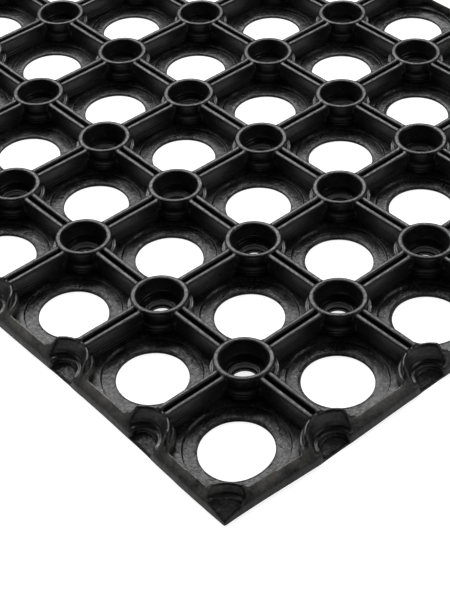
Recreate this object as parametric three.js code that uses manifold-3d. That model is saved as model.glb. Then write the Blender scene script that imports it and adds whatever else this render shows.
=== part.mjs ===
// Open ring-and-rib rubber door mat. Millimetres, +Z up.
// The origin is on the ground under the middle of the mat, with the long side along Y.
// The mat is one rubber moulding. It is divided here along its moulded features: the perforated floor
// in strips, the rows of rings and ribs that stand on it, and the bevelled border with its corners.
import * as THREE from 'three';
import { mergeVertices } from 'three/addons/utils/BufferGeometryUtils.js';
import Module from 'manifold-3d';

const wasm = await Module();
wasm.setup();

// Lattice: a ring stands at every crossing, and a cell is the square between four rings.
const pitch = 66.5;
const cellsAcross = 6;
const cellsAlong = 9;
const matHeight = 16;
const halfPitch = pitch / 2;
const lastLineX = halfPitch * cellsAcross;
const lastLineY = halfPitch * cellsAlong;

// The outer edge stands a little outside the outermost lines of rings.
const edgeMargin = 0.75;
const edgeX = lastLineX + edgeMargin;
const edgeY = lastLineY + edgeMargin;

// Drain floor. The real floor steps from 3.7 mm at the walls to 1.5 mm at its holes, and this is the mean.
const floorTop = 3;
const drainRadius = 19.5;
const drainSides = 12;
const weepRadius = 6.85; // the small hole through the floor under each ring
const weepSides = 8;

// Rings: tapered cups, open at the top and through the floor.
const ringTopRadius = 15.2;
const ringFootRadius = 17.4;
const cupTopRadius = 12.45;
const cupFootRadius = 8;
const ringSides = 12;
const cupSides = 8;
const edgeRingDrop = 1.25; // the half rings of the border stand this much lower

// Ribs: two ridges with a groove between them.
const ribWidth = 8;
const ribDrop = 0.625; // below the rims of the rings
const ribTop = matHeight - ribDrop;
const grooveWidth = 2.75;
const grooveFloor = 8;
const grooveEnd = 16.5; // from the middle of a ring to the end of a groove

// Border: a wall that takes in half a rib, with its outer top edge bevelled off.
const borderWidth = edgeMargin + ribWidth / 2;
const bevelFoot = 5.25;
const bevelAngle = THREE.MathUtils.degToRad(54);
const bevelRun = (matHeight - bevelFoot) / Math.tan(bevelAngle);

// The planes where the tread rows meet the border.
const rowEndX = lastLineX - halfPitch;
const rowEndY = lastLineY - halfPitch;

const cut = 1; // how far a cutting body runs past the face that it opens
const mergeTolerance = 0.001;

const rubber = () => new THREE.MeshStandardMaterial({ color: 0x1b1b1c, roughness: 0.55, metalness: 0 });
const mat = new THREE.Group();

function solid(geometry) {
  geometry.deleteAttribute('normal');
  geometry.deleteAttribute('uv');
  const merged = mergeVertices(geometry, 1e-5);
  const vertProperties = new Float32Array(merged.attributes.position.array);
  const triVerts = new Uint32Array(merged.index.array);
  return new wasm.Manifold(new wasm.Mesh({ numProp: 3, vertProperties, triVerts }));
}

// asOriginal and simplify merge the flat faces that the joined bodies share.
function addPiece(name, body) {
  const { vertProperties, triVerts } = body.asOriginal().simplify(mergeTolerance).getMesh();
  const geometry = new THREE.BufferGeometry();
  geometry.setAttribute('position', new THREE.BufferAttribute(vertProperties, 3));
  geometry.setIndex(new THREE.BufferAttribute(triVerts, 1));
  geometry.computeVertexNormals();
  const mesh = new THREE.Mesh(geometry, rubber());
  mesh.name = name;
  mat.add(mesh);
}

const joined = (bodies) => bodies.reduce((whole, body) => whole.add(body));
const without = (body, cutters) => cutters.reduce((rest, cutter) => rest.subtract(cutter), body);

function block([x0, y0, z0], [x1, y1, z1]) {
  const geometry = new THREE.BoxGeometry(x1 - x0, y1 - y0, z1 - z0);
  geometry.translate((x0 + x1) / 2, (y0 + y1) / 2, (z0 + z1) / 2);
  return solid(geometry);
}

// A cone or drum standing at (x, y) between two heights.
function drum(x, y, lowRadius, highRadius, low, high, sides) {
  const geometry = new THREE.CylinderGeometry(highRadius, lowRadius, high - low, sides);
  geometry.rotateX(Math.PI / 2);
  geometry.translate(x, y, (low + high) / 2);
  return solid(geometry);
}

const ring = (x, y, top) => drum(x, y, ringFootRadius, ringTopRadius, floorTop, top, ringSides);

// The hollow of a ring, carried past both ends on the same taper.
function cup(x, y) {
  const taper = (cupTopRadius - cupFootRadius) / (matHeight - floorTop);
  const low = cupFootRadius - taper * cut;
  const high = cupTopRadius + taper * cut;
  return drum(x, y, low, high, floorTop - cut, matHeight + cut, cupSides);
}

const lineX = (i) => -lastLineX + pitch * i;
const lineY = (j) => -lastLineY + pitch * j;
const inner = (count) => Array.from({ length: count - 1 }, (_, i) => i + 1);

// A rib along X or Y between two points on its line, and the groove that runs down its middle.
function ribX(x0, x1, y) {
  return block([x0, y - ribWidth / 2, floorTop], [x1, y + ribWidth / 2, ribTop]);
}
function ribY(x, y0, y1) {
  return block([x - ribWidth / 2, y0, floorTop], [x + ribWidth / 2, y1, ribTop]);
}
function grooveX(x0, x1, y) {
  return block([x0, y - grooveWidth / 2, grooveFloor], [x1, y + grooveWidth / 2, matHeight]);
}
function grooveY(x, y0, y1) {
  return block([x - grooveWidth / 2, y0, grooveFloor], [x + grooveWidth / 2, y1, matHeight]);
}

// Drain floor: one strip for each row of cells. Its drain holes stand in the middle of the cells, and
// its long sides run through the weep holes of two rows of rings.
function arcPoints(x, y, radius, sides, from, turn) {
  return Array.from({ length: sides + 1 }, (_, k) => {
    const angle = from + (turn * k) / sides;
    return new THREE.Vector2(x + radius * Math.cos(angle), y + radius * Math.sin(angle));
  });
}

function drainFloor(j) {
  const low = j === 0 ? -edgeY : lineY(j);
  const high = j === cellsAlong - 1 ? edgeY : lineY(j + 1);
  const outline = [new THREE.Vector2(-edgeX, low)];
  if (j > 0) {
    for (const i of inner(cellsAcross)) {
      outline.push(...arcPoints(lineX(i), low, weepRadius, weepSides / 2, Math.PI, -Math.PI));
    }
  }
  outline.push(new THREE.Vector2(edgeX, low), new THREE.Vector2(edgeX, high));
  if (j < cellsAlong - 1) {
    for (const i of inner(cellsAcross).reverse()) {
      outline.push(...arcPoints(lineX(i), high, weepRadius, weepSides / 2, 0, -Math.PI));
    }
  }
  outline.push(new THREE.Vector2(-edgeX, high));
  const sheet = new THREE.Shape(outline);
  for (let i = 0; i < cellsAcross; i += 1) {
    const x = lineX(i) + halfPitch;
    const y = lineY(j) + halfPitch;
    const circle = arcPoints(x, y, drainRadius, drainSides, 0, 2 * Math.PI);
    sheet.holes.push(new THREE.Path(circle.slice(0, -1)));
  }
  return solid(new THREE.ExtrudeGeometry(sheet, { depth: floorTop, bevelEnabled: false }));
}

// Tread row: the rings on one line, the cross rib through them, and half of each long rib.
function treadRow(j) {
  const y = lineY(j);
  const bodies = [ribX(-rowEndX, rowEndX, y)];
  const cutters = [];
  for (const i of inner(cellsAcross)) {
    const x = lineX(i);
    bodies.push(ring(x, y, matHeight), ribY(x, y - halfPitch, y + halfPitch));
    cutters.push(cup(x, y));
    cutters.push(grooveY(x, y + grooveEnd, y + halfPitch + cut));
    cutters.push(grooveY(x, y - halfPitch - cut, y - grooveEnd));
  }
  for (let i = 0; i < cellsAcross; i += 1) {
    const start = i === 0 ? -rowEndX - cut : lineX(i) + grooveEnd;
    const end = i === cellsAcross - 1 ? rowEndX + cut : lineX(i + 1) - grooveEnd;
    cutters.push(grooveX(start, end, y));
  }
  return without(joined(bodies), cutters);
}

// Everything on the border lies inside the bevelled outline of the whole mat.
function bevelledOutline() {
  const sheet = new THREE.Shape([
    new THREE.Vector2(-edgeX, -edgeY),
    new THREE.Vector2(edgeX, -edgeY),
    new THREE.Vector2(edgeX, edgeY),
    new THREE.Vector2(-edgeX, edgeY),
  ]);
  const geometry = new THREE.ExtrudeGeometry(sheet, {
    depth: matHeight,
    bevelThickness: matHeight - bevelFoot,
    bevelSize: bevelRun,
    bevelOffset: -bevelRun,
    bevelSegments: 1,
  });
  geometry.translate(0, 0, bevelFoot - matHeight);
  return solid(geometry);
}
const outline = bevelledOutline();

// The stretch between two depths inside an edge, on the negative or positive side of the mat.
function inward(edge, side, from, to) {
  const ends = [side * (edge - from), side * (edge - to)];
  return [Math.min(...ends), Math.max(...ends)];
}

const edgeRing = (x, y) => ring(x, y, matHeight - edgeRingDrop);

// Long-side border, with its half rings and the stubs of the cross ribs. It ends at the two corners.
function longBorder(side) {
  const [wallLow, wallHigh] = inward(edgeX, side, 0, borderWidth);
  const [stubLow, stubHigh] = inward(lastLineX, side, 0, halfPitch);
  const [grooveLow, grooveHigh] = inward(lastLineX, side, grooveEnd, halfPitch + cut);
  const x = side * lastLineX;
  const bodies = [block([wallLow, -rowEndY, floorTop], [wallHigh, rowEndY, matHeight])];
  const cutters = [];
  for (const y of inner(cellsAlong).map(lineY)) {
    bodies.push(edgeRing(x, y), ribX(stubLow, stubHigh, y));
    cutters.push(cup(x, y), grooveX(grooveLow, grooveHigh, y));
  }
  return without(joined(bodies).intersect(outline), cutters);
}

// Short-side border, the same across the other way.
function shortBorder(side) {
  const [wallLow, wallHigh] = inward(edgeY, side, 0, borderWidth);
  const [stubLow, stubHigh] = inward(lastLineY, side, 0, halfPitch);
  const [grooveLow, grooveHigh] = inward(lastLineY, side, grooveEnd, halfPitch + cut);
  const y = side * lastLineY;
  const bodies = [block([-rowEndX, wallLow, floorTop], [rowEndX, wallHigh, matHeight])];
  const cutters = [];
  for (const x of inner(cellsAcross).map(lineX)) {
    bodies.push(edgeRing(x, y), ribY(x, stubLow, stubHigh));
    cutters.push(cup(x, y), grooveY(x, grooveLow, grooveHigh));
  }
  return without(joined(bodies).intersect(outline), cutters);
}

// Corner: two short walls that meet at a mitre, around a quarter ring.
function corner(sideX, sideY) {
  const [x0, x1] = inward(edgeX, sideX, 0, edgeMargin + halfPitch);
  const [y0, y1] = inward(edgeY, sideY, 0, edgeMargin + halfPitch);
  const [wallX0, wallX1] = inward(edgeX, sideX, 0, borderWidth);
  const [wallY0, wallY1] = inward(edgeY, sideY, 0, borderWidth);
  const x = sideX * lastLineX;
  const y = sideY * lastLineY;
  const bodies = [
    block([wallX0, y0, floorTop], [wallX1, y1, matHeight]),
    block([x0, wallY0, floorTop], [x1, wallY1, matHeight]),
    edgeRing(x, y),
  ];
  return joined(bodies).intersect(outline).subtract(cup(x, y));
}

const numbered = (name, number) => `${name}_${String(number).padStart(2, '0')}`;

for (let j = 0; j < cellsAlong; j += 1) addPiece(numbered('drain_floor', j + 1), drainFloor(j));
for (const j of inner(cellsAlong)) addPiece(numbered('tread_row', j), treadRow(j));
addPiece('border_left', longBorder(-1));
addPiece('border_right', longBorder(1));
addPiece('border_front', shortBorder(-1));
addPiece('border_back', shortBorder(1));
addPiece('corner_front_left', corner(-1, -1));
addPiece('corner_front_right', corner(1, -1));
addPiece('corner_back_left', corner(-1, 1));
addPiece('corner_back_right', corner(1, 1));

export default mat;
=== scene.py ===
import math

import bmesh
import bpy
from mathutils import Matrix, Vector, noise


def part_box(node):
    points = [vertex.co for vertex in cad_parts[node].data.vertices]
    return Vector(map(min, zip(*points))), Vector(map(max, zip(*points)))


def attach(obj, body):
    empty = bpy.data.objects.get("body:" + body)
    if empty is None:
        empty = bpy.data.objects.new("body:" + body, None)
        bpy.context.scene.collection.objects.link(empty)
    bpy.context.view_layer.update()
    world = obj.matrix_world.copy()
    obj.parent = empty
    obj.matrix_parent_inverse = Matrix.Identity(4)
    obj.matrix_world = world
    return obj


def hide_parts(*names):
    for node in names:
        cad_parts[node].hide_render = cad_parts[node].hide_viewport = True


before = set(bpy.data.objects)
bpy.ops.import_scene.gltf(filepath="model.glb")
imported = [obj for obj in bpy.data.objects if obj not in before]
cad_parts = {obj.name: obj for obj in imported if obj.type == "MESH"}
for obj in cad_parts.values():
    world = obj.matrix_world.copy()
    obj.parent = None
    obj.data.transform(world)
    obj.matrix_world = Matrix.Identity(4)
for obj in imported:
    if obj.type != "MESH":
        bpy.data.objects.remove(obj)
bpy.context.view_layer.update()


# Drain floor: the thin black rubber skin at the bottom of the mat, pressed in one shot with all that stands
# on it. It steps down round the drain hole of each cell, and has a weep hole under each ring of the tread.
# A strip is one row of cells. Rings stand where lines of the lattice cross. Sizes are in millimetres.

MM = 0.001
floor_names = sorted(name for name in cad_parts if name.startswith("drain_floor"))
strip_low, strip_high = (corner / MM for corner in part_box(floor_names[1]))
pitch = strip_high.y - strip_low.y
half_pitch = pitch / 2
mat_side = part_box("border_right")[1].x / MM
cells_along = len(floor_names)
cells_across = round(2 * mat_side / pitch)
last_x = half_pitch * cells_across
last_y = half_pitch * cells_along
lines_x = [pitch * i - last_x for i in range(cells_across + 1)]
lines_y = [pitch * j - last_y for j in range(cells_along + 1)]
inner_x = lines_x[1:-1]

floor_top = 3.65
drain_radius = 19.6
drain_lip = 0.5
drain_slope = 1.2
web_inner = 1.2
web_outer = 2.4
weep_web = 1.5
step_foot = 25.7
step_radius = 26.5
step_edge = 0.5
weep_radius = 6.85
weep_seat = 10.5
closed_seat_top = 1.3
floor_inset = 2.0
clearance = 2.0
crease = math.radians(38)
wander_seed = 3


def eased(corners, stride=math.radians(23)):
    """The closed outline through these (across, up, radius) corners, each rounded to its radius."""
    outline = []
    for index, (across, up, radius) in enumerate(corners):
        here = Vector((across, up))
        if radius == 0:
            outline.append(here)
            continue
        back = (Vector(corners[index - 1][:2]) - here).normalized()
        onward = (Vector(corners[(index + 1) % len(corners)][:2]) - here).normalized()
        half = back.angle(onward) / 2
        centre = here + (back + onward).normalized() * radius / math.sin(half)
        start = here + back * radius / math.tan(half) - centre
        end = here + onward * radius / math.tan(half) - centre
        steps = max(1, math.ceil(start.angle(end) / stride))
        outline += [centre + start.slerp(end, step / steps) for step in range(steps + 1)]
    return outline


def stitched(rows, close_rows):
    """A closed mesh from rows of points: neighbouring rows are joined, and a row of one point is a tip."""
    shape = bmesh.new()
    made = [[shape.verts.new(point) for point in row] for row in rows]
    count = len(made)
    for index in range(count if close_rows else count - 1):
        low_row = made[index]
        high_row = made[(index + 1) % count]
        length = max(len(low_row), len(high_row))
        for k in range(length):
            after = (k + 1) % length
            face = [low_row[k % len(low_row)], low_row[after % len(low_row)]]
            face += [high_row[after % len(high_row)], high_row[k % len(high_row)]]
            face = list(dict.fromkeys(face))
            if len(face) > 2:
                shape.faces.new(face)
    if not close_rows:
        for row in (made[0], made[-1]):
            if len(row) > 2:
                shape.faces.new(row)
    bmesh.ops.recalc_face_normals(shape, faces=shape.faces)
    mesh = bpy.data.meshes.new("shape")
    shape.to_mesh(mesh)
    shape.free()
    return mesh


def merged(meshes):
    """One mesh that holds these separate bodies side by side. They are used up."""
    shape = bmesh.new()
    for mesh in meshes:
        shape.from_mesh(mesh)
        bpy.data.meshes.remove(mesh)
    mesh = bpy.data.meshes.new("shape")
    shape.to_mesh(mesh)
    shape.free()
    return mesh


def turned(outline, centres, segments=64):
    """Solids turned about upright lines at these centres, from one closed (radius, height) outline."""
    around = [2 * math.pi * k / segments for k in range(segments)]
    bodies = []
    for x, y in centres:
        rows = []
        for radius, height in outline:
            if radius < 1e-6:
                rows.append([(x, y, height)])
            else:
                rows.append([(x + radius * math.cos(a), y + radius * math.sin(a), height) for a in around])
        bodies.append(stitched(rows, close_rows=True))
    return merged(bodies)


def block(low, high):
    """A plain box between two opposite corners."""
    corners = [(low[0], low[1]), (high[0], low[1]), (high[0], high[1]), (low[0], high[1])]
    rows = [[(x, y, z) for x, y in corners] for z in (low[2], high[2])]
    return stitched(rows, close_rows=False)


def combined(body, tool, operation):
    """body joined with, cut by or kept inside tool. Both are used up."""
    holders = [bpy.data.objects.new("holder", mesh) for mesh in (body, tool)]
    for holder in holders:
        bpy.context.scene.collection.objects.link(holder)
    step = holders[0].modifiers.new("step", "BOOLEAN")
    step.solver = "MANIFOLD"
    step.operation = operation
    step.object = holders[1]
    ready = bpy.context.evaluated_depsgraph_get()
    result = bpy.data.meshes.new_from_object(holders[0].evaluated_get(ready), depsgraph=ready)
    for holder in holders:
        bpy.data.objects.remove(holder)
    for mesh in (body, tool):
        bpy.data.meshes.remove(mesh)
    return result


# The noise starts from a fixed seed, so that every run gives the same mat.
noise.seed_set(wander_seed)


def settled(point):
    """Where a point of the true shape lies on the real moulding, which is uneven and limp at one corner.

    The corner's left side flares out, its front side is tucked in, and its drain hole is pulled to the tip.
    """
    broad = noise.noise_vector(point * 0.021)
    small = noise.noise_vector(point * 0.13 + Vector((40, 7, 3)))
    uneven = broad * 0.25 + small * 0.09
    lift = min(1, max(0, point.z / floor_top)) * 0.6
    from_left = max(0, point.x + last_x)
    from_front = max(0, point.y + last_y)
    flared = 3.0 * max(0, 1 - (from_left / 85) ** 2 - (from_front / 115) ** 2) ** 2
    tucked = 3.0 * max(0, 1 - (from_left / 62) ** 2 - (from_front / 62) ** 2) ** 2
    pull = math.exp(-((from_left - 18) ** 2 + (from_front - 15.5) ** 2) / 380)
    pull *= min(1, from_left / 12, from_front / 12) * max(0, 1 - point.z / 9)
    drift = Vector((-flared - 1.9 * pull, tucked - 2.3 * pull, 0))
    return point + drift + Vector((uneven.x, uneven.y, uneven.z * lift))


def piece(mesh, name, material, flip_x=False, flip_y=False, shift_y=0.0):
    """A copy of a shape in its place on the mat, mirrored if asked, as the finished piece for one node."""
    copy = mesh.copy()
    copy.name = name
    copy.transform(Matrix.Diagonal((-1 if flip_x else 1, -1 if flip_y else 1, 1, 1)))
    copy.transform(Matrix.Translation((0, shift_y, 0)))
    if flip_x != flip_y:
        copy.flip_normals()
    for vertex in copy.vertices:
        vertex.co = settled(vertex.co) * MM
    copy.materials.clear()
    copy.materials.append(material)
    copy.shade_smooth()
    copy.set_sharp_from_angle(angle=crease)
    made = bpy.data.objects.new(f"{name}_rubber", copy)
    bpy.context.scene.collection.objects.link(made)
    even = made.modifiers.new("even_shading", "WEIGHTED_NORMAL")
    even.keep_sharp = True
    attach(made, "root")
    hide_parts(name)


def rubber(name, roughness, gloss, grain, mottle, scuff_and_painted_light):
    """Black rubber: grainy, with cloudy bloom, fine mould lines low on the walls, and a scuffed bevel whose
    lighter tone is partly scuffing and partly a painted highlight.
    """
    black = (0.0035, 0.0035, 0.0036)
    bloom = (0.020, 0.020, 0.020)
    # A light tone for scuffs on the bevel. It is also a painted highlight there.
    scuffed_and_lit_tone = (0.135, 0.130, 0.118)
    speck = tuple(channel * 3.2 for channel in bloom)
    line_spacing = 1.9 * MM
    material = bpy.data.materials.new(name)
    material.use_nodes = True
    nodes = material.node_tree.nodes
    links = material.node_tree.links
    skin = nodes["Principled BSDF"]
    place = nodes.new("ShaderNodeTexCoord").outputs["Object"]

    def pattern(scale, detail, rough=0.6):
        """Cloudy noise from 0 to 1 through the rubber, with about this many clouds to a metre."""
        node = nodes.new("ShaderNodeTexNoise")
        node.inputs["Scale"].default_value = scale
        node.inputs["Detail"].default_value = detail
        node.inputs["Roughness"].default_value = rough
        links.new(place, node.inputs["Vector"])
        return node.outputs["Fac"]

    def spread(value, low, high, to_low, to_high):
        """The value moved from one range to another, and held at its ends."""
        node = nodes.new("ShaderNodeMapRange")
        for socket, number in zip(node.inputs[1:5], (low, high, to_low, to_high)):
            socket.default_value = number
        links.new(value, node.inputs["Value"])
        return node.outputs["Result"]

    def blended(factor, first, second):
        """The first colour where factor is 0, and the second where it is 1."""
        node = nodes.new("ShaderNodeMix")
        node.data_type = "RGBA"
        links.new(factor, node.inputs["Factor"])
        for socket, value in ((node.inputs[6], first), (node.inputs[7], second)):
            if isinstance(value, tuple):
                socket.default_value = value
            else:
                links.new(value, socket)
        return node.outputs[2]

    def worked(operation, first, second=0):
        """One step of arithmetic on values or numbers."""
        node = nodes.new("ShaderNodeMath")
        node.operation = operation
        for socket, value in zip(node.inputs, (first, second)):
            if isinstance(value, (int, float)):
                socket.default_value = value
            else:
                links.new(value, socket)
        return node.outputs[0]

    axes = nodes.new("ShaderNodeSeparateXYZ")
    links.new(place, axes.inputs[0])
    past_x = worked("SUBTRACT", worked("ABSOLUTE", axes.outputs["X"]), last_x * MM)
    past_y = worked("SUBTRACT", worked("ABSOLUTE", axes.outputs["Y"]), last_y * MM)
    edge = spread(worked("MAXIMUM", past_x, past_y), -12 * MM, -4 * MM, 0, 1)

    # Scuffs lie high on the bevel between two rings, and keep out of the hollows of the rings. This lighter
    # tone is partly scuffing and partly a painted highlight where light falls on the upper bevel. It is kept
    # out of the hollows so that they stay dark.
    bevel = worked("MULTIPLY", edge, spread(axes.outputs["Z"], 4.0 * MM, 7.0 * MM, 0.12, 1))
    off_x = worked("PINGPONG", worked("ADD", axes.outputs["X"], last_x * MM), half_pitch * MM)
    off_y = worked("PINGPONG", worked("ADD", axes.outputs["Y"], last_y * MM), half_pitch * MM)
    off_squared = worked("ADD", worked("MULTIPLY", off_x, off_x), worked("MULTIPLY", off_y, off_y))
    from_ring = worked("SQRT", off_squared)
    exposed = worked("MULTIPLY", bevel, spread(from_ring, 14 * MM, 20 * MM, 0.04, 1))
    scuffs_and_painted_light = worked("MULTIPLY", spread(pattern(85, 7, 0.7), 0.36, 0.72, 0, scuff_and_painted_light), exposed)

    clouds = spread(pattern(75, 6, 0.65), 0.42, 0.68, 0, mottle)
    specks = spread(pattern(620, 4, 0.75), 0.53, 0.72, 0, grain)
    fine = pattern(1300, 1)
    coarse = pattern(480, 2, 0.5)
    tint = blended(clouds, (*black, 1), (*bloom, 1))
    # Painted highlight, partly scuffing: the upper bevel is made lighter in the base colour.
    tint = blended(scuffs_and_painted_light, tint, (*scuffed_and_lit_tone, 1))
    tint = blended(specks, tint, (*speck, 1))
    links.new(tint, skin.inputs["Base Color"])
    links.new(spread(coarse, 0.3, 0.7, roughness - 0.1, roughness + 0.12), skin.inputs["Roughness"])
    skin.inputs["Specular IOR Level"].default_value = gloss

    # The mould's lines run level along the foot of each wall, here and there, but not on the border.
    lines = worked("SINE", worked("MULTIPLY", axes.outputs["Z"], 2 * math.pi / line_spacing))
    above_foot = spread(axes.outputs["Z"], 3.9 * MM, 4.4 * MM, 0, 1)
    below_ledge = spread(axes.outputs["Z"], 8.4 * MM, 9.6 * MM, 1, 0)
    low_wall = worked("MULTIPLY", worked("MULTIPLY", above_foot, below_ledge), worked("SUBTRACT", 1, edge))
    here_and_there = spread(pattern(45, 2), 0.36, 0.54, 0, 1)
    lines = worked("MULTIPLY", lines, worked("MULTIPLY", low_wall, here_and_there))
    dents = worked("MULTIPLY", pattern(150, 3), worked("ADD", worked("MULTIPLY", edge, scuff_and_painted_light), mottle))
    relief = (
        (dents, 0.8 * MM),
        (lines, 0.3 * MM),
        (coarse, 0.22 * MM * grain),
        (fine, 0.05 * MM * grain),
    )
    below = None
    for height, reach in relief:
        bump = nodes.new("ShaderNodeBump")
        bump.inputs["Strength"].default_value = 0.6
        bump.inputs["Distance"].default_value = reach
        links.new(height, bump.inputs["Height"])
        if below:
            links.new(below, bump.inputs["Normal"])
        below = bump.outputs["Normal"]
    links.new(below, skin.inputs["Normal"])
    return material


def floor_strip(low, high, middle, open_lines, closed_lines):
    """The strip from low to high along Y, with its cells on the line middle and seats for rings at its edges.

    Weep holes go through the seats on open_lines, except at the border. The seats on closed_lines are shut.
    """
    body = block((-last_x + floor_inset, low, 0), (last_x - floor_inset, high, floor_top))
    drain = eased([
        (0, -1, 0),
        (drain_radius, -1, 0),
        (drain_radius, drain_lip, 0.2),
        (drain_radius + drain_slope, web_inner, 0.6),
        (step_foot, web_outer, 0.3),
        (step_radius, floor_top - 0.3, 0.2),
        (step_radius + 0.15, floor_top - 0.1, 0),
        (step_radius + step_edge, floor_top + 0.1, 0),
        (step_radius + step_edge, floor_top + clearance, 0),
        (0, floor_top + clearance, 0),
    ])
    cells = [(x + half_pitch, middle) for x in lines_x[:-1]]
    body = combined(body, turned(drain, cells, 96), "DIFFERENCE")
    open_seat = [
        (0, -1),
        (weep_radius, -1),
        (weep_radius, weep_web),
        (weep_seat, weep_web),
        (weep_seat, floor_top + clearance),
        (0, floor_top + clearance),
    ]
    weeps = [(x, y) for y in open_lines for x in inner_x]
    body = combined(body, turned(open_seat, weeps, 48), "DIFFERENCE")
    shut_seat = [
        (0, closed_seat_top),
        (weep_seat, closed_seat_top),
        (weep_seat, floor_top + clearance),
        (0, floor_top + clearance),
    ]
    shut = [(x, y) for y in open_lines for x in (lines_x[0], lines_x[-1])]
    shut += [(x, y) for y in closed_lines for x in lines_x]
    return combined(body, turned(shut_seat, shut, 48), "DIFFERENCE")


floor_rubber = rubber("floor_rubber", roughness=0.31, gloss=0.16, grain=1.1, mottle=1.2, scuff_and_painted_light=0.0)
inner_strip = floor_strip(lines_y[1], lines_y[2], lines_y[1] + half_pitch, lines_y[1:3], [])
end_low = -last_y + floor_inset
end_strip = floor_strip(end_low, lines_y[1], lines_y[0] + half_pitch, lines_y[1:2], lines_y[0:1])
piece(end_strip, floor_names[0], floor_rubber)
for index, name in enumerate(floor_names[1:-1]):
    piece(inner_strip, name, floor_rubber, shift_y=pitch * index)
piece(end_strip, floor_names[-1], floor_rubber, flip_y=True)


# Tread rows: the black rubber rings and ribs that scrape a shoe, moulded on the floor and sunk a little into
# it here. A row is a line of hollow tapered rings with a ledge round each, the grooved cross rib that joins
# them, and half of each grooved long rib. The mould is worn, so every edge comes out slightly rounded.

row_names = sorted(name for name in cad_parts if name.startswith("tread_row"))
mat_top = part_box(row_names[0])[1].z / MM
root = 1.2
rib_foot = 4.35
rib_shoulder = 3.85
rib_top = mat_top - 0.6
groove_half = 1.35
groove_floor = 8.0
ring_foot = 17.6
ledge_radius = 17.15
ledge_top = 10.1
neck_radius = 15.75
rim_radius = 15.35
cup_radius = 12.45
cup_low = 0.5
lip_round = 0.6
cup_step_radius = 9.3
cup_step = 6.0
cup_foot = 7.5
spare = 4.0
above_all = 30.0


def drawn(outline, axis, line, steps):
    """A bar drawn from one closed (across, up) outline along X or Y, on the line with that offset."""
    rows = []
    for s in steps:
        if axis == "X":
            rows.append([(s, line + across, up) for across, up in outline])
        else:
            rows.append([(line + across, s, up) for across, up in outline])
    return stitched(rows, close_rows=False)


def stations(start, end, spacing=4.2):
    """Even steps from start to end, about this far apart."""
    count = max(1, round(abs(end - start) / spacing))
    return [start + (end - start) * k / count for k in range(count + 1)]


def rib_outline():
    """A rib across its length: two lands with rounded shoulders, and the groove between them."""
    right = [
        (rib_foot + 0.05, root, 0),
        (rib_foot, floor_top, 0),
        (rib_shoulder, rib_top, 0.7),
        (groove_half, rib_top, 0.7),
        (groove_half - 0.1, groove_floor, 0.5),
    ]
    return eased(right + [(-across, up, radius) for across, up, radius in reversed(right)])


def ring_outline(top):
    """The outside of a ring, from the bottom of its middle line: the foot, ledge, neck and rim."""
    return eased([
        (0, root, 0),
        (ring_foot + 0.1, root, 0),
        (ring_foot, floor_top, 0),
        (ledge_radius, ledge_top - 0.5, 0.45),
        (neck_radius, ledge_top + 0.1, 0.4),
        (rim_radius, top, 0.6),
        (0, top, 0),
    ])


def cup_outline(low, mouth, top, wider=0.0):
    """The hollow of a ring, which opens out to its mouth in a rounded lip."""
    turns = [math.radians(angle) for angle in (0, 22, 45, 68)]
    lip = [(mouth + lip_round * (1 - math.cos(a)), top - lip_round * (1 - math.sin(a)), 0) for a in turns]
    return eased([
        (0, low, 0),
        (cup_foot + wider, low, 0),
        (cup_foot + wider + 0.35, cup_step - 0.3, 0.3),
        (cup_step_radius + wider, cup_step, 0.2),
        *lip,
        (mouth + lip_round, top + 0.1, 0),
        (mouth + lip_round, top + 6, 0),
        (0, top + 6, 0),
    ])


def softened(mesh, voxel=0.55, rounds=3, kept=0.6):
    """The same body with every sharp edge rounded off a little, and then with this share of its faces."""
    holder = bpy.data.objects.new("holder", mesh)
    bpy.context.scene.collection.objects.link(holder)
    skin = holder.modifiers.new("skin", "REMESH")
    skin.mode = "VOXEL"
    skin.voxel_size = voxel
    relax = holder.modifiers.new("relax", "SMOOTH")
    relax.factor = 0.5
    relax.iterations = rounds
    thin = holder.modifiers.new("thin", "DECIMATE")
    thin.ratio = kept
    ready = bpy.context.evaluated_depsgraph_get()
    result = bpy.data.meshes.new_from_object(holder.evaluated_get(ready), depsgraph=ready)
    bpy.data.objects.remove(holder)
    bpy.data.meshes.remove(mesh)
    return result


tread_rubber = rubber("tread_rubber", roughness=0.37, gloss=0.25, grain=0.4, mottle=0.3, scuff_and_painted_light=0.0)
rib = rib_outline()
first_line = lines_y[1]
row_start = lines_x[0] + half_pitch
row_end = lines_x[-1] - half_pitch
row_centres = [(x, first_line) for x in inner_x]
rib_ends = stations(first_line - half_pitch - spare, first_line + half_pitch + spare)
row = drawn(rib, "X", first_line, stations(row_start - spare, row_end + spare))
row = combined(row, merged([drawn(rib, "Y", x, rib_ends) for x in inner_x]), "UNION")
row = combined(row, turned(ring_outline(mat_top), row_centres), "UNION")
row = combined(row, turned(cup_outline(cup_low, cup_radius, mat_top), row_centres), "DIFFERENCE")
row_low = (row_start, first_line - half_pitch, 0)
row_high = (row_end, first_line + half_pitch, above_all)
row = combined(softened(row), block(row_low, row_high), "INTERSECT")
for index, name in enumerate(row_names):
    piece(row, name, tread_rubber, shift_y=pitch * index)


# Border: a black rubber wall round the mat, part of the same moulding, with its top bevelled off towards the
# outside. The half rings that stand on it are cut by the same bevel, and their hollows open outwards over a
# sloping apron. The stubs of the ribs run in from them to the middle of the first row of cells.

edge_margin = mat_side - last_x
edge_ring_top = mat_top - 1.25
edge_cup_radius = 13.3
edge_cup_wider = 1.0
stub_start = 14.2
toe = edge_margin + 1.05
bevel_foot = 3.9
bevel_rise = math.tan(math.radians(51))
face_draft = 0.15
arris_top = 10.85
wall_out = 4.0
wall_in = floor_inset + 1.8
apron_edge = 0.9
apron_rise = 0.2
outside = 20.0

# Only the border gets the scuffs, with their painted highlight on the bevel.
border_rubber = rubber("border_rubber", roughness=0.37, gloss=0.25, grain=0.4, mottle=0.3, scuff_and_painted_light=1.0)


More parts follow.
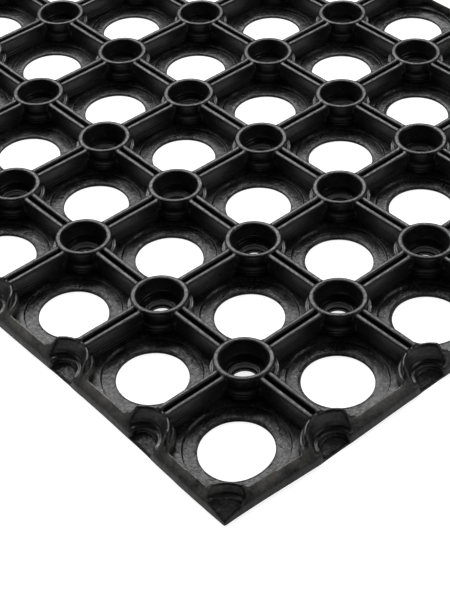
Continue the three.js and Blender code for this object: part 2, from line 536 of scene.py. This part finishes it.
def border_limits():
    """Everything on a border lies inside this outline, given as (inward, up) from the line of rings."""
    reach = half_pitch + 8
    turn = face_draft - toe
    return eased([
        (reach, -spare, 0),
        (-toe, -spare, 0),
        (turn, bevel_foot, 2.2),
        (turn + (above_all - bevel_foot) / bevel_rise, above_all, 0),
        (reach, above_all, 0),
    ])


def border_wall():
    """The wall before its bevel is cut. It starts below the ground, so that the toe stays crisp there."""
    return eased([
        (-wall_out, -spare + 1, 0),
        (wall_in, -spare + 1, 0),
        (wall_in, root, 0),
        (rib_foot + 0.05, root, 0),
        (rib_foot, floor_top, 0),
        (rib_shoulder, arris_top, 0.9),
        (-wall_out, arris_top - 2.6, 0),
    ])


def edge_cups(outline, centres, slope, low=apron_edge):
    """The hollows of the rings on the border. Each has a floor that falls away towards the outside."""
    cutter = turned(outline, centres)
    for vertex in cutter.vertices:
        if vertex.co.z < low + 0.01:
            near = min(centres, key=lambda centre: (vertex.co.xy - Vector(centre)).length)
            offset = vertex.co.xy - Vector(near)
            vertex.co.z += offset.dot(slope)
    return cutter


def border(axis, line, centres, slope):
    """One side of the mat from mid-cell to mid-cell, with its half rings and the stubs of the ribs."""
    across = "Y" if axis == "X" else "X"
    places = [x if axis == "X" else y for x, y in centres]
    start = places[0] - half_pitch
    end = places[-1] + half_pitch
    body = drawn(border_wall(), axis, line, stations(start - spare, end + spare))
    body = combined(body, turned(ring_outline(edge_ring_top), centres), "UNION")
    cup = cup_outline(apron_edge, edge_cup_radius, edge_ring_top, edge_cup_wider)
    body = combined(body, edge_cups(cup, centres, slope), "DIFFERENCE")
    body = combined(body, drawn(border_limits(), axis, line, [start - spare, end + spare]), "INTERSECT")
    body = softened(body, rounds=20)
    stub = stations(line + stub_start, line + half_pitch + spare)
    body = combined(body, merged([drawn(rib, across, place, stub) for place in places]), "UNION")
    body = softened(body)
    low = Vector((start, line - outside, 0))
    high = Vector((end, line + half_pitch, above_all))
    if axis == "Y":
        low = low.yxz
        high = high.yxz
    return combined(body, block(low, high), "INTERSECT")


front = border("X", -last_y, [(x, -last_y) for x in inner_x], Vector((0, apron_rise)))
piece(front, "border_front", border_rubber)
piece(front, "border_back", border_rubber, flip_y=True)
left = border("Y", -last_x, [(-last_x, y) for y in lines_y[1:-1]], Vector((apron_rise, 0)))
piece(left, "border_left", border_rubber)
piece(left, "border_right", border_rubber, flip_x=True)


# Corners: two short stretches of the border wall, in the same rubber and the same shot, that meet at a mitre.
# A low quarter ring stands where they meet, rounder than the other rings, and its hollow opens at the tip.

corner_reach = 4.0
corner_top = arris_top + 0.6
corner_ring = 17.5
corner_draft = 0.3
corner_mouth = 15.0
corner_wider = 4.2
corner_low = 2.2
corner_slope = Vector((0.21, 0.21))
corner_centre = [(-last_x, -last_y)]
corner_end = half_pitch + spare
limits_from = 30.0
limits_to = 60.0

corner_front = drawn(border_wall(), "X", -last_y, stations(-last_x - corner_reach, -last_x + corner_end))
corner_side = drawn(border_wall(), "Y", -last_x, stations(-last_y - corner_reach, -last_y + corner_end))
corner = combined(corner_front, corner_side, "UNION")
quarter = eased([
    (0, root, 0),
    (corner_ring, root, 0),
    (corner_ring - corner_draft, corner_top, 0.9),
    (0, corner_top, 0),
])
corner = combined(corner, turned(quarter, corner_centre), "UNION")
corner_cup = cup_outline(corner_low, corner_mouth, corner_top, corner_wider)
corner = combined(corner, edge_cups(corner_cup, corner_centre, corner_slope, corner_low), "DIFFERENCE")
corner = softened(corner, rounds=30)
limits_x = drawn(border_limits(), "X", -last_y, [-last_x - limits_from, -last_x + limits_to])
limits_y = drawn(border_limits(), "Y", -last_x, [-last_y - limits_from, -last_y + limits_to])
corner = combined(corner, limits_x, "INTERSECT")
corner = combined(corner, limits_y, "INTERSECT")
corner = softened(corner, rounds=10)
quarter_low = (-last_x - outside, -last_y - outside, 0)
quarter_high = (-last_x + half_pitch, -last_y + half_pitch, above_all)
corner = combined(corner, block(quarter_low, quarter_high), "INTERSECT")
piece(corner, "corner_front_left", border_rubber)
piece(corner, "corner_front_right", border_rubber, flip_x=True)
piece(corner, "corner_back_left", border_rubber, flip_y=True)
piece(corner, "corner_back_right", border_rubber, flip_x=True, flip_y=True)


# Studio: a plain pale floor that glows a little, so that it shows white through the holes, with soft light
# from behind and a little from above and each side. The camera looks over the front left corner of the mat.

ground_half = 3000
ground_low = (-ground_half, -ground_half, -10)
ground_high = (ground_half, ground_half, 0)
ground = bpy.data.objects.new("studio_floor", block(ground_low, ground_high))
ground.data.transform(Matrix.Scale(MM, 4))
bpy.context.scene.collection.objects.link(ground)
pale = bpy.data.materials.new("studio_white")
pale.use_nodes = True
pale_skin = pale.node_tree.nodes["Principled BSDF"]
pale_skin.inputs["Base Color"].default_value = (0.4, 0.4, 0.4, 1)
pale_skin.inputs["Roughness"].default_value = 0.8
pale_skin.inputs["Emission Color"].default_value = (1, 1, 1, 1)
pale_skin.inputs["Emission Strength"].default_value = 0.82
ground.data.materials.append(pale)

heading = math.radians(50.546)
tilt = math.radians(41.760)
roll = math.radians(-2.854)
eye = Vector((-last_x - 4.3427 * pitch, -last_y - 5.3010 * pitch, mat_top + 7.9700 * pitch)) * MM
forward = Vector((
    math.cos(heading) * math.cos(tilt),
    math.sin(heading) * math.cos(tilt),
    -math.sin(tilt),
))
level = forward.cross(Vector((0, 0, 1))).normalized()
upright = level.cross(forward)
right = level * math.cos(roll) + upright * math.sin(roll)
up = right.cross(forward)
camera = bpy.data.objects.new("camera", bpy.data.cameras.new("camera"))
bpy.context.scene.collection.objects.link(camera)
camera.matrix_world = Matrix.Translation(eye) @ Matrix((right, up, -forward)).transposed().to_4x4()
camera.data.sensor_width = 36.0
camera.data.lens = 91.29
camera.data.clip_start = 0.01
bpy.context.scene.camera = camera


def softbox(name, azimuth, elevation, distance, size, power):
    """A soft oblong light that looks at the mat. Azimuth runs from the camera's heading."""
    angle = heading + math.radians(azimuth)
    rise = math.radians(elevation)
    away = Vector((math.cos(angle) * math.cos(rise), math.sin(angle) * math.cos(rise), math.sin(rise)))
    lamp = bpy.data.objects.new(name, bpy.data.lights.new(name, "AREA"))
    lamp.data.shape = "RECTANGLE"
    lamp.data.size, lamp.data.size_y = size
    lamp.data.energy = power
    lamp.location = away * distance
    lamp.rotation_mode = "QUATERNION"
    lamp.rotation_quaternion = away.to_track_quat("Z", "Y")
    bpy.context.scene.collection.objects.link(lamp)


softbox("overhead_softbox", azimuth=0, elevation=80, distance=1.6, size=(1.3, 0.9), power=2.5)
softbox("back_softbox", azimuth=6, elevation=47, distance=1.8, size=(1.9, 0.9), power=60)
softbox("right_softbox", azimuth=-109, elevation=27, distance=1.8, size=(0.9, 0.5), power=6.5)
softbox("left_softbox", azimuth=92, elevation=22, distance=1.8, size=(0.9, 0.5), power=3.5)

world = bpy.data.worlds.new("studio")
world.use_nodes = True
world.node_tree.nodes["Background"].inputs["Color"].default_value = (1, 1, 1, 1)
world.node_tree.nodes["Background"].inputs["Strength"].default_value = 0.03
bpy.context.scene.world = world
bpy.context.scene.view_settings.view_transform = "Standard"
